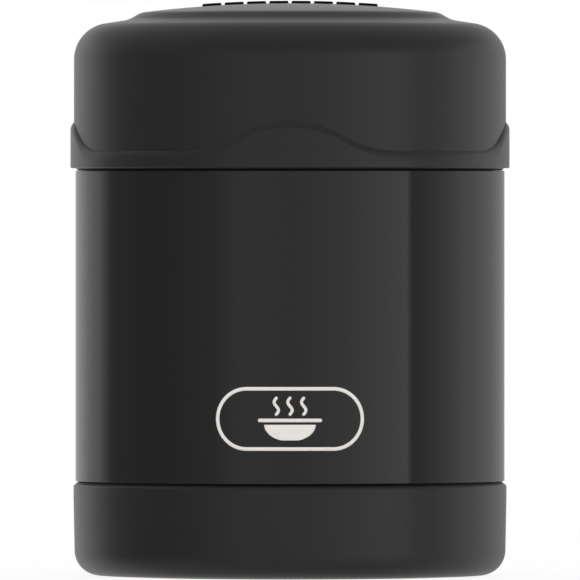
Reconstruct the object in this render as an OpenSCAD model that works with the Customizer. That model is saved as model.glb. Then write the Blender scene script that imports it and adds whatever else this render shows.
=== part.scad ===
// Insulated food jar: a double-walled steel vessel with a moulded boot and a
// screw lid. Millimetres, +Z up. The origin is on the surface that the jar
// stands on, at the jar's axis, and the jar's front is towards -Y.

/* [Overall] */
// Height of the closed jar, to the top of the lid's crown
jar_h = 114.3; // [105:0.1:140]
// Outside diameter of the painted steel body
body_d = 85.5; // [71:0.1:105]

/* [Steel body] */
// Sheet thickness of the outer shell
shell_t = 0.45; // [0.35:0.05:0.8]
// Sheet thickness of the inner vessel
vessel_t = 0.4; // [0.3:0.05:0.6]
// Sheet thickness of the base plate
plate_t = 0.5; // [0.4:0.05:0.8]
// Vacuum space between the two walls
vacuum_gap = 5.5; // [4:0.1:7]
// Vacuum space under the vessel's floor
floor_gap = 6.9; // [5:0.1:10]
// Radius between the vessel's floor and its wall
floor_round = 5; // [3:0.5:8]
// Radius along the body's upper and lower edges
edge_round = 0.25; // [0.2:0.05:0.6]
// How far the shell steps in where the boot covers it
shell_step = 1.3; // [1.1:0.1:1.8]
// Upturned flange of the base plate
plate_flange = 3.5; // [2.5:0.1:5]

/* [Seams] */
// Depth of the seams that part the body from its boot and from the lid
seam_depth = 0.4; // [0.3:0.05:0.6]
// Clearance between the body and the lips that close those seams
seam_gap = 0.05; // [0.03:0.01:0.1]

/* [Neck] */
// Width of the flat shoulder, from the body's side to the neck
shoulder_w = 5.85; // [4.5:0.05:7]
// Height of the neck's rim above the shoulder
neck_h = 16.6; // [15.5:0.1:20]
// Space between the two walls of the neck
neck_gap = 2.1; // [1.4:0.1:2.6]
// Radius of the rolled rim
rim_round = 1; // [0.7:0.1:1.4]
// Depth of the vessel's shoulder below the steel shoulder
vessel_drop = 1.9; // [1.5:0.1:4]
// Height of the slope between the vessel's wall and its mouth
vessel_slope_h = 2.9; // [2:0.1:5]

/* [Screw thread] */
// Rise of the lid in one turn
pitch = 5; // [4:0.5:6]
// Turns of the ridge on the neck
neck_turns = 1.3; // [1:0.1:1.4]
// Turns of the ridge in the lid
lid_turns = 1.2; // [0.8:0.1:1.3]
// Height of the neck's ridge
ridge_h = 0.9; // [0.7:0.05:1.2]
// Width of the neck's ridge at its root
ridge_root = 2.6; // [2.2:0.1:2.8]
// Width of the neck's ridge at its crest
ridge_crest = 1.2; // [0.8:0.1:1.4]
// Width of the lid's ridge at its root
lid_ridge_root = 1.8; // [1.5:0.1:2]
// Width of the lid's ridge at its crest
lid_ridge_crest = 0.8; // [0.6:0.1:1]
// Clearance between the ridges, along the axis and across it
thread_gap = 0.25; // [0.2:0.05:0.4]
// Start of the neck's ridge above the shoulder
thread_start = 4.6; // [3.8:0.1:5]

/* [Lid] */
// Height of the lid, from its lower edge to its crown
lid_h = 33; // [30:0.1:40]
// Gap between the lid's lower edge and the shoulder
lid_gap = 0.4; // [0.3:0.1:1]
// How far the lid's side stands out from the body's side
lid_proud = 0.35; // [0.2:0.05:1]
// Wall of the lid's outer shell
lid_wall = 1.8; // [1.2:0.1:2.4]
// Radius between the lid's side and its top
lid_round = 6.8; // [5:0.1:8]
// Slope of the lid's outer rim, in degrees
rim_slope = 9.3; // [5:0.1:12]
// Width of the rim between the lid's side and the crown
rim_w = 13.2; // [11:0.1:15]
// Height of the step between the rim and the crown
step_h = 1.5; // [1:0.1:2.2]
// Width of that step
step_w = 2.4; // [2:0.1:3.5]
// Radius at the foot of the step
step_foot_round = 5.5; // [3:0.1:5.5]
// Radius at the edge of the crown
crown_edge_round = 3.4; // [2.2:0.1:3.4]
// Rise of the crown from its edge to its centre
crown_rise = 1.92; // [1:0.01:3]

/* [Raised bars on the crown] */
// Number of plain bars
bar_count = 8; // [2:1:9]
// Width of a bar
bar_w = 3.8; // [2:0.1:4]
// Length of a bar
bar_l = 7; // [5:0.1:12]
// Distance between the middles of two bars
bar_spacing = 4.45; // [4.3:0.05:4.8]
// Height of the bars above the crown
bar_h = 0.5; // [0.3:0.1:1]

/* [Grip band] */
// How far the band stands out from the lid's side
band_t = 0.7; // [0.5:0.1:1.2]
// Height of the band at its lobes
band_high = 9.1; // [7:0.1:12]
// Height of the band between its lobes
band_low = 3.3; // [2.5:0.1:5]
// Number of lobes
band_lobes = 4; // [2:1:5]
// Level stretch at the top of a lobe, in degrees
lobe_flat = 3; // [0:1:12]
// Slope on each side of a lobe, in degrees
lobe_ramp = 25.5; // [15:0.5:29]
// Height of the rounding along the band's upper edge
band_round = 1.2; // [0.6:0.1:2]
// Level land along the band's upper edge
band_land = 0.1; // [0.05:0.05:0.3]
// Chamfer along the band's lower edge
band_chamfer = 0.3; // [0.1:0.1:0.4]
// Lip of the band under the lid's edge
band_lip = 0.8; // [0.5:0.1:1.2]

/* [Inner cap and gasket] */
// Wall of the inner cap
cap_wall = 1.5; // [1.2:0.1:2]
// Clearance between the neck's ridge and the skirt's bore
skirt_gap = 0.3; // [0.25:0.05:0.5]
// Depth of the plug below the neck's rim
plug_depth = 6; // [4:0.1:8]
// Clearance between the plug and the vessel's mouth
plug_gap = 0.85; // [0.7:0.05:1.2]
// Radius at the plug's lower edge
plug_round = 2; // [1:0.1:3]
// Height of the gasket
gasket_h = 2; // [1.5:0.1:2.5]
// Clearance above and below the gasket
gasket_seat = 0.05; // [0.05:0.01:0.1]
// Clearance between the gasket and its groove
gasket_gap = 0.15; // [0.1:0.05:0.3]
// Depth of the gasket's groove in the plug
groove_depth = 0.6; // [0.4:0.1:0.8]
// Height of the bead that holds the gasket, above the plug's side
bead_h = 0.4; // [0.3:0.05:0.4]
// Width of that bead
bead_w = 1.2; // [1:0.1:1.6]
// Width of the slit around the gasket's edge
slit_w = 1; // [0.6:0.1:1.2]
// Depth of that slit
slit_depth = 1.5; // [0.8:0.1:2]
// Clearance around the lid's foam
foam_gap = 0.15; // [0.1:0.05:0.3]

/* [Boot] */
// Height of the boot
boot_h = 18.5; // [14:0.1:25]
// Gap between the boot's upper edge and the body's step
boot_gap = 0.5; // [0.3:0.05:1]
// How far the boot stands out from the body's side
boot_proud = 0.45; // [0.35:0.05:1]
// Narrowing of the boot towards its bottom, on the radius
boot_taper = 0.3; // [0:0.05:0.5]
// Height of the boot's upright upper stretch
boot_upright = 2.6; // [1.5:0.1:5]
// Radius between the boot's side and its bottom
boot_round = 5; // [3:0.1:6]
// Radius along the boot's upper edge
boot_edge_round = 0.7; // [0.4:0.1:0.8]
// Thickness of the boot's floor
boot_floor_t = 2.6; // [2:0.1:4]
// Clearance between the boot's wall and the shell
boot_fit = 0.1; // [0.05:0.01:0.2]
// Depth of the recess under the boot
recess_h = 0.8; // [0.4:0.1:1.5]
// Width of the ring that the jar stands on
foot_w = 5.1; // [3:0.1:8]
// Distance of that ring from the boot's side
foot_inset = 10.4; // [8:0.1:14]
// Rise of the boot's underside outside that ring
foot_rise = 0.4; // [0:0.1:1]
// Thickness of the bond between the boot and the base plate
bond_t = 0.8; // [0.6:0.1:1.5]
// Width of that bond
bond_w = 8; // [4:0.5:12]

/* [Vacuum fittings] */
// Diameter of the hole that the air was drawn out through
vent_d = 2; // [1.5:0.1:3]
// Diameter of the dimple around that hole
dimple_d = 11.5; // [9:0.1:14]
// Depth of the dimple
dimple_h = 0.8; // [0.7:0.1:1.2]
// Diameter of the bead that seals the hole
seal_d = 4.4; // [4:0.1:6]
// Thickness of that bead
seal_t = 0.7; // [0.4:0.05:0.7]
// Diameter of the disc that covers the bead
cover_d = 18; // [15:0.5:24]
// Thickness of that disc
cover_t = 0.4; // [0.3:0.05:0.5]
// Diameter of the getter pellet
pellet_d = 8; // [6:0.1:10]
// Thickness of the getter pellet
pellet_h = 2.2; // [1.5:0.1:3]
// Distance of the getter from the jar's axis
pellet_offset = 20; // [18:0.5:22]
// Width of the strap over the getter
strap_w = 5; // [3:0.1:6]
// Thickness of that strap
strap_t = 0.2; // [0.15:0.05:0.4]
// Length of each foot of that strap
strap_foot = 3.5; // [2:0.1:5]
// Thickness of the foil around the vessel
foil_t = 0.15; // [0.1:0.05:0.3]

/* [Hidden] */

$fn = 120;
arc_step = 10;      // degrees between the points of a rounded corner
crown_steps = 8;    // points along the crown's arc
thread_facets = 60; // pieces of a thread's ridge in one turn
thread_fade = 30;   // degrees over which a ridge's ends fade out
thread_sunk = 0.2;  // how deep a ridge's root lies in its wall
band_facets = 120;  // pieces of the grip band in one turn
edge_facets = 4;    // pieces of the grip band's rounded edge
weld_gap = 0.03;    // clearance between curved faces that are joined
ridge_end = 0.05;   // share of a ridge's height that is left where it ends inside its wall
soft_edge = 0.4;    // radius of small edges
press_round = 0.8;  // radius of bends in pressed sheet

// Heights of the boot and of the base plate
boot_floor_z = recess_h + boot_floor_t;
plate_z = boot_floor_z + bond_t;
body_z = boot_h + boot_gap;

// Heights of the lid, the shoulder and the neck
lid_z = jar_h - lid_h;
shoulder_z = lid_z - lid_gap;
rim_z = shoulder_z + neck_h;
neck_top_z = rim_z - vessel_t;

// Radii of the steel body and its neck
body_r = body_d / 2;
seat_r = body_r - shell_step;
neck_r = body_r - shoulder_w;
mouth_r = neck_r - shell_t - neck_gap - vessel_t;
vessel_r = body_r - shell_t - vacuum_gap - vessel_t;
shoulder_round = 1.5;
boot_side_round = 3;
boot_inner_round = 1;
cap_inner_round = 1;
foot_round = 10;

// Lips that close the seams: their radius and the heights they reach
seam_r = body_r - seam_depth;
boot_lip_z = body_z - seam_gap;
lid_lip_z = shoulder_z + seam_gap;

// Inner vessel
floor_z = plate_z + plate_t + floor_gap + vessel_t;
vessel_neck_z = shoulder_z - vessel_drop;
vessel_top_z = vessel_neck_z - vessel_slope_h;
vessel_round = 2;

// Thread: a height is that of a ridge's middle at zero degrees
ridge_r = neck_r + ridge_h;
bore_r = ridge_r + skirt_gap;
lid_ridge_h = bore_r - neck_r - thread_gap;
ridge_flank = (ridge_root - ridge_crest) / 2 * (ridge_h - thread_gap) / ridge_h;
neck_thread_z = shoulder_z + thread_start;
lid_thread_z = neck_thread_z - (ridge_crest + lid_ridge_crest) / 2 - ridge_flank - thread_gap;
lid_thread_turn = -0.1; // where the lid's ridge starts, in turns

// Lid's outer shell
lid_r = body_r + lid_proud;
lid_edge_z = lid_z + band_lip;
crown_r = lid_r - rim_w;
crown_edge_z = jar_h - crown_rise;
crown_sphere_r = (crown_r * crown_r + crown_rise * crown_rise) / (2 * crown_rise);
step_foot_r = crown_r + step_w;
step_foot_z = crown_edge_z - step_h;
rim_edge_z = step_foot_z - tan(rim_slope) * (lid_r - step_foot_r);

// Inner cap, gasket and plug
plug_r = mouth_r - plug_gap;
plug_z = rim_z - plug_depth;
groove_r = plug_r - groove_depth;
bead_r = plug_r + bead_h;
gasket_z = rim_z + gasket_seat;
ceiling_z = gasket_z + gasket_h + gasket_seat;
bead_top_z = rim_z - gasket_seat;
cap_top_z = ceiling_z + cap_wall;
skirt_r = bore_r + cap_wall;
plug_bore_r = groove_r - cap_wall;
plug_floor_z = plug_z + cap_wall;
flange_r = lid_r - lid_wall - weld_gap;
flange_top_z = lid_edge_z + cap_wall;

// Boot
boot_r = body_r + boot_proud;
boot_bore_r = seat_r + boot_fit;
boot_low_r = boot_r - boot_taper;
foot_r = boot_low_r - foot_inset;
recess_r = foot_r - foot_w;

// Direction from one point to another, in degrees
function heading(a, b) = atan2(b[1] - a[1], b[0] - a[0]);

// Change of direction at b, positive to the left
function bend(a, b, c) =
    let (change = heading(b, c) - heading(a, b))
    change > 180 ? change - 360 : change < -180 ? change + 360 : change;

// A path's point is [radius, height] or [radius, height, rounding]
function rounding(p) = len(p) > 2 ? p[2] : 0;
function bare(p) = [p[0], p[1]];

// Points of the rounded corner b
function corner(a, b, c) =
    let (turned = bend(a, b, c), round = rounding(b))
    round <= 0 || abs(turned) < 0.01 ? [bare(b)] :
    let (
        start_heading = heading(a, b),
        reach = round * tan(abs(turned) / 2),
        start = bare(b) - reach * [cos(start_heading), sin(start_heading)],
        side = sign(turned) * round,
        centre = start + side * [-sin(start_heading), cos(start_heading)],
        steps = max(2, ceil(abs(turned) / arc_step))
    )
    [for (i = [0 : steps])
        let (angle = start_heading + turned * i / steps)
        centre + side * [sin(angle), -cos(angle)]];

// A path with its corners rounded, open or closed
function rounded(path) =
    let (last = len(path) - 1)
    [for (i = [0 : last])
        for (p = i == 0 || i == last ? [bare(path[i])] : corner(path[i - 1], path[i], path[i + 1]))
            p];

// Unit vector to the left of the line from a to b
function left_of(a, b) = [-sin(heading(a, b)), cos(heading(a, b))];

// A path moved to its left by a distance, with its roundings to suit. A path that ends at the axis
// goes on beyond it as its own mirror image.
function shifted(path, distance) =
    let (last = len(path) - 1)
    [for (i = [0 : last])
        let (
            before = i == 0 ? left_of(path[0], path[1]) : left_of(path[i - 1], path[i]),
            after = i < last ? left_of(path[i], path[i + 1]) : [path[i][0] == 0 ? -before[0] : before[0], before[1]],
            moved = bare(path[i]) + distance * (before + after) / (1 + before * after),
            turned = i == 0 || i == last ? 0 : bend(path[i - 1], path[i], path[i + 1]),
            round = rounding(path[i])
        )
        [moved[0], moved[1], round > 0 ? max(0, round - distance * sign(turned)) : 0]];

function reversed(list) = [for (i = [len(list) - 1 : -1 : 0]) list[i]];

// Outline of a wall that follows a path and lies to its left
function wall_outline(path, thickness) =
    concat(rounded(path), reversed(rounded(shifted(path, thickness))));

// Solid of revolution from an outline
module revolved(outline) {
    rotate_extrude()
        polygon(outline);
}

module ring(inner_r, outer_r, z, h) {
    translate([0, 0, z])
        difference() {
            cylinder(r = outer_r, h = h);
            translate([0, 0, -1])
                cylinder(r = inner_r, h = h + 2);
        }
}

// Closed loop of triangles between rings of points, each ring's points listed in turn
function ring_faces(rings, size, closed) =
    [for (i = [0 : closed ? rings - 1 : rings - 2])
        for (j = [0 : size - 1])
            let (
                a = i * size + j,
                b = i * size + (j + 1) % size,
                c = (i + 1) % rings * size + (j + 1) % size,
                d = (i + 1) % rings * size + j
            )
            for (face = [[a, b, c], [a, c, d]])
                face];

// A point of a section, [radius, height], turned about the axis
function turned_point(p, angle) = [p[0] * cos(angle), p[0] * sin(angle), p[1]];

// Helical ridge on a wall of radius wall_r. A negative height points to the axis.
module ridge(wall_r, height, root, crest, z, first_turn, turns) {
    steps = round(turns * thread_facets);
    slope = (root - crest) / 2 / abs(height);
    sunk_r = wall_r - sign(height) * thread_sunk;
    sunk_half = root / 2 + slope * thread_sunk;
    sections = [for (i = [0 : steps])
        let (
            along = i * 360 / thread_facets,
            from_end = min(along, turns * 360 - along),
            full = min(1, max(0, from_end / thread_fade)),
            crest_r = sunk_r + (wall_r + height - sunk_r) * (ridge_end + (1 - ridge_end) * full),
            crest_half = sunk_half - slope * abs(crest_r - sunk_r),
            angle = first_turn * 360 + along,
            middle = z + pitch * angle / 360
        )
        for (p = [
            [sunk_r, middle - sunk_half],
            [crest_r, middle - crest_half],
            [crest_r, middle + crest_half],
            [sunk_r, middle + sunk_half]
        ])
            turned_point(p, angle)];
    faces = ring_faces(steps + 1, 4, false);
    ends = [[3, 2, 1, 0], [for (j = [0 : 3]) steps * 4 + j]];
    outward = concat(faces, ends);
    polyhedron(sections, height > 0 ? outward : [for (face = outward) reversed(face)]);
}

// Outer face of the lid's shell, from a start height over the side and the top to the axis
function lid_face(start_z) = concat(
    [
        [lid_r, start_z],
        [lid_r, rim_edge_z, lid_round],
        [step_foot_r, step_foot_z, step_foot_round]
    ],
    crown_face()
);

// Outer face of the crown, from its edge to the axis
function crown_face() =
    [for (i = [0 : crown_steps])
        let (
            r = crown_r * (1 - i / crown_steps),
            z = jar_h - crown_sphere_r + sqrt(crown_sphere_r * crown_sphere_r - r * r)
        )
        [r, z, i == 0 ? crown_edge_round : 0]];

// Height of the grip band's upper edge above its lower edge
function band_top(angle) =
    let (
        sector = 360 / band_lobes,
        from_lobe = abs((angle + sector / 2) % sector - sector / 2),
        down = min(1, max(0, (from_lobe - lobe_flat / 2) / lobe_ramp))
    )
    band_low + (band_high - band_low) * (1 + cos(180 * down)) / 2;

module base_boot() {
    color("#242424")
        revolved(rounded([
            [0, recess_h],
            [recess_r - recess_h, recess_h, soft_edge],
            [recess_r, 0, soft_edge],
            [foot_r, 0, foot_round],
            [boot_low_r, foot_rise, boot_round],
            [boot_r, boot_h - boot_upright, boot_side_round],
            [boot_r, boot_h, boot_edge_round],
            [seam_r, boot_h],
            [seam_r, boot_lip_z],
            [boot_bore_r, boot_lip_z, soft_edge + boot_fit],
            [boot_bore_r, boot_floor_z, boot_inner_round],
            [0, boot_floor_z]
        ]));
}

module boot_bond_ring() {
    color("#8a8a86")
        ring(foot_r, foot_r + bond_w, boot_floor_z, bond_t);
}

module outer_shell() {
    color("#1c1c1c") {
        revolved(wall_outline([
            [seat_r, plate_z],
            [seat_r, body_z, soft_edge],
            [body_r, body_z, edge_round],
            [body_r, shoulder_z, edge_round],
            [neck_r, shoulder_z, shoulder_round],
            [neck_r, neck_top_z]
        ], shell_t));
        ridge(neck_r, ridge_h, ridge_root, ridge_crest, neck_thread_z, 0, neck_turns);
    }
}

module outer_base_plate() {
    flange = seat_r - shell_t - weld_gap;
    color("silver")
        revolved(wall_outline([
            [vent_d / 2, plate_z + dimple_h],
            [dimple_d / 2 - dimple_h, plate_z + dimple_h, press_round],
            [dimple_d / 2, plate_z, press_round],
            [flange, plate_z, press_round],
            [flange, plate_z + plate_flange]
        ], plate_t));
}

module seal_bead() {
    roof_z = plate_z + dimple_h;
    stem_r = vent_d / 2 - weld_gap;
    color("#6b7f86")
        revolved(rounded([
            [0, roof_z - seal_t],
            [seal_d / 2, roof_z - seal_t, seal_t / 2],
            [seal_d / 2, roof_z],
            [stem_r, roof_z],
            [stem_r, roof_z + plate_t],
            [0, roof_z + plate_t]
        ]));
}

module seal_cover() {
    color("silver")
        translate([0, 0, plate_z - cover_t])
            cylinder(d = cover_d, h = cover_t);
}

module getter_pellet() {
    color("#5a5a5c")
        translate([pellet_offset, 0, plate_z + plate_t])
            cylinder(d = pellet_d, h = pellet_h);
}

module getter_strap() {
    foot_z = plate_z + plate_t;
    side = pellet_d / 2 + strap_t + weld_gap;
    roof_z = foot_z + pellet_h + strap_t + weld_gap;
    outline = wall_outline([
        [-side - strap_foot, foot_z + strap_t],
        [-side, foot_z + strap_t, strap_t],
        [-side, roof_z, strap_t],
        [side, roof_z, strap_t],
        [side, foot_z + strap_t, strap_t],
        [side + strap_foot, foot_z + strap_t]
    ], -strap_t);
    color("silver")
        translate([pellet_offset, strap_w / 2, 0])
            rotate([90, 0, 0])
                linear_extrude(strap_w)
                    polygon(outline);
}

module inner_vessel() {
    color("silver")
        revolved(wall_outline([
            [0, floor_z],
            [vessel_r, floor_z, floor_round],
            [vessel_r, vessel_top_z, vessel_round],
            [mouth_r, vessel_neck_z, vessel_round],
            [mouth_r, rim_z, rim_round],
            [neck_r, rim_z]
        ], -vessel_t));
}

module radiation_foil() {
    foil_r = vessel_r + vessel_t + weld_gap;
    foil_z = floor_z + floor_round;
    foil_top_z = vessel_top_z - vessel_round;
    color("#c8c8c8")
        ring(foil_r, foil_r + foil_t, foil_z, foil_top_z - foil_z);
}

module lid_gasket() {
    inner_r = groove_r + gasket_gap;
    outer_r = neck_r - gasket_gap;
    middle_z = gasket_z + gasket_h / 2;
    color("#9a9a98")
        revolved([
            [inner_r, gasket_z],
            [outer_r, gasket_z],
            [outer_r, middle_z - slit_w / 2],
            [outer_r - slit_depth, middle_z],
            [outer_r, middle_z + slit_w / 2],
            [outer_r, gasket_z + gasket_h],
            [inner_r, gasket_z + gasket_h]
        ]);
}

module lid_shell() {
    bars_l = (bar_count - 1) * bar_spacing;
    straight = bar_l - bar_w;
    color("#262626") {
        revolved(wall_outline(lid_face(lid_edge_z), lid_wall));
        intersection() {
            revolved(wall_outline(shifted(crown_face(), -bar_h), bar_h + lid_wall / 2));
            translate([0, 0, crown_edge_z - lid_wall])
                linear_extrude(crown_rise + lid_wall + 2 * bar_h)
                    for (x = [-bars_l / 2 : bar_spacing : bars_l / 2 + 0.01])
                        translate([x, 0]) {
                            square([bar_w, straight], center = true);
                            translate([0, straight / 2])
                                circle(d = bar_w);
                            translate([0, -straight / 2])
                                circle(d = bar_w);
                        }
        }
    }
}

module lid_grip_band() {
    inner_r = (lid_r + weld_gap) / cos(180 / band_facets);
    lip_r = (lid_r - lid_wall) / cos(180 / band_facets);
    outer_r = lid_r + band_t;
    land_r = inner_r + band_land;
    sections = [for (i = [0 : band_facets - 1])
        let (angle = i * 360 / band_facets, top = lid_z + band_top(angle))
        for (p = concat(
            [
                [lip_r, lid_lip_z],
                [seam_r, lid_lip_z],
                [seam_r, lid_z],
                [outer_r - band_chamfer, lid_z],
                [outer_r, lid_z + band_chamfer]
            ],
            [for (k = [0 : edge_facets])
                let (a = 90 * k / edge_facets)
                [land_r + (outer_r - land_r) * cos(a), top - band_round + band_round * sin(a)]],
            [
                [inner_r, top],
                [inner_r, lid_edge_z],
                [lip_r, lid_edge_z]
            ]
        ))
            turned_point(p, angle)];
    count = len(sections) / band_facets;
    color("#1e1e1e")
        polyhedron(sections, [for (face = ring_faces(band_facets, count, true)) reversed(face)]);
}

module lid_inner_cap() {
    color("#303030") {
        revolved(rounded([
            [0, plug_z],
            [plug_r, plug_z, plug_round],
            [plug_r, bead_top_z - bead_w],
            [bead_r, bead_top_z - bead_w + bead_h],
            [bead_r, bead_top_z],
            [groove_r, bead_top_z],
            [groove_r, ceiling_z],
            [bore_r, ceiling_z, soft_edge],
            [bore_r, lid_edge_z],
            [flange_r, lid_edge_z],
            [flange_r, flange_top_z],
            [skirt_r, flange_top_z],
            [skirt_r, cap_top_z, cap_wall],
            [plug_bore_r, cap_top_z, soft_edge],
            [plug_bore_r, plug_floor_z, cap_inner_round],
            [0, plug_floor_z]
        ]));
        ridge(bore_r, -lid_ridge_h, lid_ridge_root, lid_ridge_crest, lid_thread_z, lid_thread_turn, lid_turns);
    }
}

module lid_foam() {
    start_z = flange_top_z + foam_gap;
    outer = rounded(shifted(lid_face(start_z), lid_wall + foam_gap));
    inner = rounded([
        [0, plug_floor_z + foam_gap],
        [plug_bore_r - foam_gap, plug_floor_z + foam_gap, cap_inner_round],
        [plug_bore_r - foam_gap, cap_top_z + foam_gap],
        [skirt_r + foam_gap, cap_top_z + foam_gap],
        [skirt_r + foam_gap, start_z]
    ]);
    color("#f2f2ee")
        revolved(concat(outer, inner));
}

base_boot();
boot_bond_ring();
outer_shell();
outer_base_plate();
seal_bead();
seal_cover();
getter_pellet();
getter_strap();
inner_vessel();
radiation_foil();
lid_gasket();
lid_shell();
lid_grip_band();
lid_inner_cap();
lid_foam();
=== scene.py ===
import math

import bmesh
import bpy
from bpy.props import FloatProperty, FloatVectorProperty, IntProperty, PointerProperty
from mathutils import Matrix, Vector


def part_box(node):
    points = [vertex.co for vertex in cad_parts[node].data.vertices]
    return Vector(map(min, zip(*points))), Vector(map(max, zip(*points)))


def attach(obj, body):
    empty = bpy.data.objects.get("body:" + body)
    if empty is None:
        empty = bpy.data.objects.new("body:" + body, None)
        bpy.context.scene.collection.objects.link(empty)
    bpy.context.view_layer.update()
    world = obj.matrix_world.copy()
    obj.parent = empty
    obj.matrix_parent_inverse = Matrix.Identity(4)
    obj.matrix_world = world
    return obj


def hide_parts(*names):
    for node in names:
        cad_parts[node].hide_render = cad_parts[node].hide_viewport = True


bl_info = {
    "name": "Insulated food jar",
    "version": (1, 0, 0),
    "blender": (4, 5, 0),
    "location": "3D View > Sidebar > Food jar",
    "description": "Builds the looks of an insulated food jar around its packed frame",
    "category": "Object",
}

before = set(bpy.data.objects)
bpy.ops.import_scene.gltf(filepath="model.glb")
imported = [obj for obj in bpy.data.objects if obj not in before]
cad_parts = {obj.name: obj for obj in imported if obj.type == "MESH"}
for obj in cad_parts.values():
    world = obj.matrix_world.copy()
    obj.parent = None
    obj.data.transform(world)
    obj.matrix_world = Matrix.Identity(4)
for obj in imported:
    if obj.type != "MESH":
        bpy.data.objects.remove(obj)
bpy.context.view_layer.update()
MM = 0.001


def linear(code):
    """The linear colour of an sRGB hex value such as #1c1c1c."""
    parts = [int(code[i : i + 2], 16) / 255 for i in (1, 3, 5)]
    return tuple(p / 12.92 if p <= 0.04045 else ((p + 0.055) / 1.055) ** 2.4 for p in parts)


def low(node):
    """Lowest height of a node."""
    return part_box(node)[0].z


def high(node):
    """Highest height of a node."""
    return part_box(node)[1].z


def radius_of(node):
    """Largest radius of a node about the jar's axis."""
    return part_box(node)[1].x


# -------------------- settings


def length(name, description, default):
    """A size in metres that a user may change."""
    return FloatProperty(
        name=name, description=description, default=default,
        min=0.0, unit="LENGTH", subtype="DISTANCE", precision=5,
    )


def colour(name, description, code):
    """A colour that a user may change, given as an sRGB hex value."""
    return FloatVectorProperty(
        name=name, description=description, default=linear(code),
        min=0.0, max=1.0, size=3, subtype="COLOR",
    )


def brightness(name, description, default):
    """A brightness that a user may change; 1 is white."""
    return FloatProperty(name=name, description=description, default=default, min=0, max=5)


def number(name, description, default, least, most):
    """A count that a user may change."""
    return IntProperty(name=name, description=description, default=default, min=least, max=most)


class FoodJarSizes(bpy.types.PropertyGroup):
    facets: number("Facets", "Faces around the jar's axis", 192, 48, 480)
    band_facets: number("Band facets", "Faces around the wavy grip band", 480, 120, 960)
    body_r: length("Body radius", "Outside radius of the steel body", radius_of("outer_shell"))
    coat_t: length("Coat", "Thickness of the enamel on the body's side", 0.06 * MM)
    shell_t: length("Shell sheet", "Thickness of the outer steel sheet", 0.45 * MM)
    edge_round: length("Body edge", "Radius along the painted body's edges", 0.16 * MM)
    seam_depth: length("Seam depth", "Least depth of the seams above and below the body", 0.1 * MM)
    seam_gap: length("Seam clearance", "Clearance of the lips that close the seams", 0.05 * MM)
    shoulder_w: length("Shoulder", "Width of the steel shoulder", 5.85 * MM)
    neck_h: length("Neck height", "From the shoulder up to the rolled rim", 16.6 * MM)
    neck_top: length("Neck top", "Height of the neck's upper edge", high("outer_shell"))
    rim_z: length("Rim", "Height of the rolled rim", high("inner_vessel"))
    vessel_t: length("Vessel sheet", "Thickness of the inner vessel's sheet", 0.4 * MM)
    vacuum_w: length("Vacuum space", "Between the body's sheet and the vessel's", 5.5 * MM)
    mouth_r: length("Mouth radius", "Inside radius of the mouth", 33.95 * MM)
    pitch: length("Thread pitch", "Rise of the lid in one turn", 5.0 * MM)
    ridge_h: length("Thread height", "Height of the neck's thread", 0.9 * MM)
    lid_r: length("Lid radius", "Outside radius of the lid's shell", radius_of("lid_shell"))
    lid_wall: length("Lid wall", "Wall of the lid's shell", 1.8 * MM)
    lid_round: length("Lid rounding", "Radius between the lid's side and top", 7.25 * MM)
    rim_w: length("Lid rim", "Width of the sloping rim around the crown", 13.35 * MM)
    step_h: length("Crown step", "Height of the step up to the crown", 1.44 * MM)
    crown_rise: length("Crown rise", "Rise of the crown to its centre", 1.85 * MM)
    bar_h: length("Bar height", "Height of the plain bars on the crown", 0.5 * MM)
    bar_w: length("Bar width", "Width of a bar", 3.8 * MM)
    bar_l: length("Bar length", "Length of a bar", 7.0 * MM)
    bar_spacing: length("Bar spacing", "Distance between two bars' middles", 4.45 * MM)
    bar_count: number("Bars", "Number of plain bars on the crown", 8, 0, 9)
    band_r: length("Band radius", "Outside radius of the grip band", radius_of("lid_grip_band"))
    band_high: length("Band lobe", "Height of the band at its lobes", 9.1 * MM)
    band_low: length("Band waist", "Height of the band between its lobes", 3.3 * MM)
    band_lobes: number("Lobes", "Number of lobes on the grip band", 4, 1, 5)
    boot_r: length("Boot radius", "Outside radius of the boot", radius_of("base_boot"))
    boot_h: length("Boot height", "Height of the boot, with its inner lip", high("base_boot"))
    boot_round: length("Boot rounding", "Radius between the boot's side and bottom", 5.0 * MM)
    mark_w: length("Print width", "Width of the plain print on the body", 29.8 * MM)
    mark_h: length("Print height", "Height of that print", 12.6 * MM)
    mark_z: length("Print place", "Height of that print's middle", 31.9 * MM)
    mark_line: length("Print line", "Width of that print's lines", 0.72 * MM)


class FoodJarFinish(bpy.types.PropertyGroup):
    plastic: colour("Moulded plastic", "Lid shell and boot", "#171717")
    grip: colour("Grip band", "Soft band around the lid", "#171717")
    # Painted shade: the bars' near-black colour is darker than the lid's own plastic.
    mark: colour("Bar painted shade", "Painted shade on the plain bars", "#0a0a0a")
    enamel: colour("Enamel", "Painted steel body", "#141414")
    ink: colour("Print", "Silver print on the body", "#f0ebe6")
    steel: colour("Steel", "Bare steel of the neck and the vessel", "#cbc8c3")
    cap: colour("Inner cap", "Plastic of the lid's inner cap", "#2f3032")
    silicone: colour("Gasket", "Silicone gasket", "#9a9a98")
    foam: colour("Foam", "Foam in the lid", "#efeee8")
    foil: colour("Foil", "Aluminium foil around the vessel", "#d8d9db")
    grain: length("Mould grain", "Size of the moulded plastic's grain", 0.28 * MM)
    peel: length("Orange peel", "Spacing of the enamel's ripple", 1.6 * MM)
    brush: length("Turning lines", "Spacing of the lines on the bare steel", 0.25 * MM)


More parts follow.
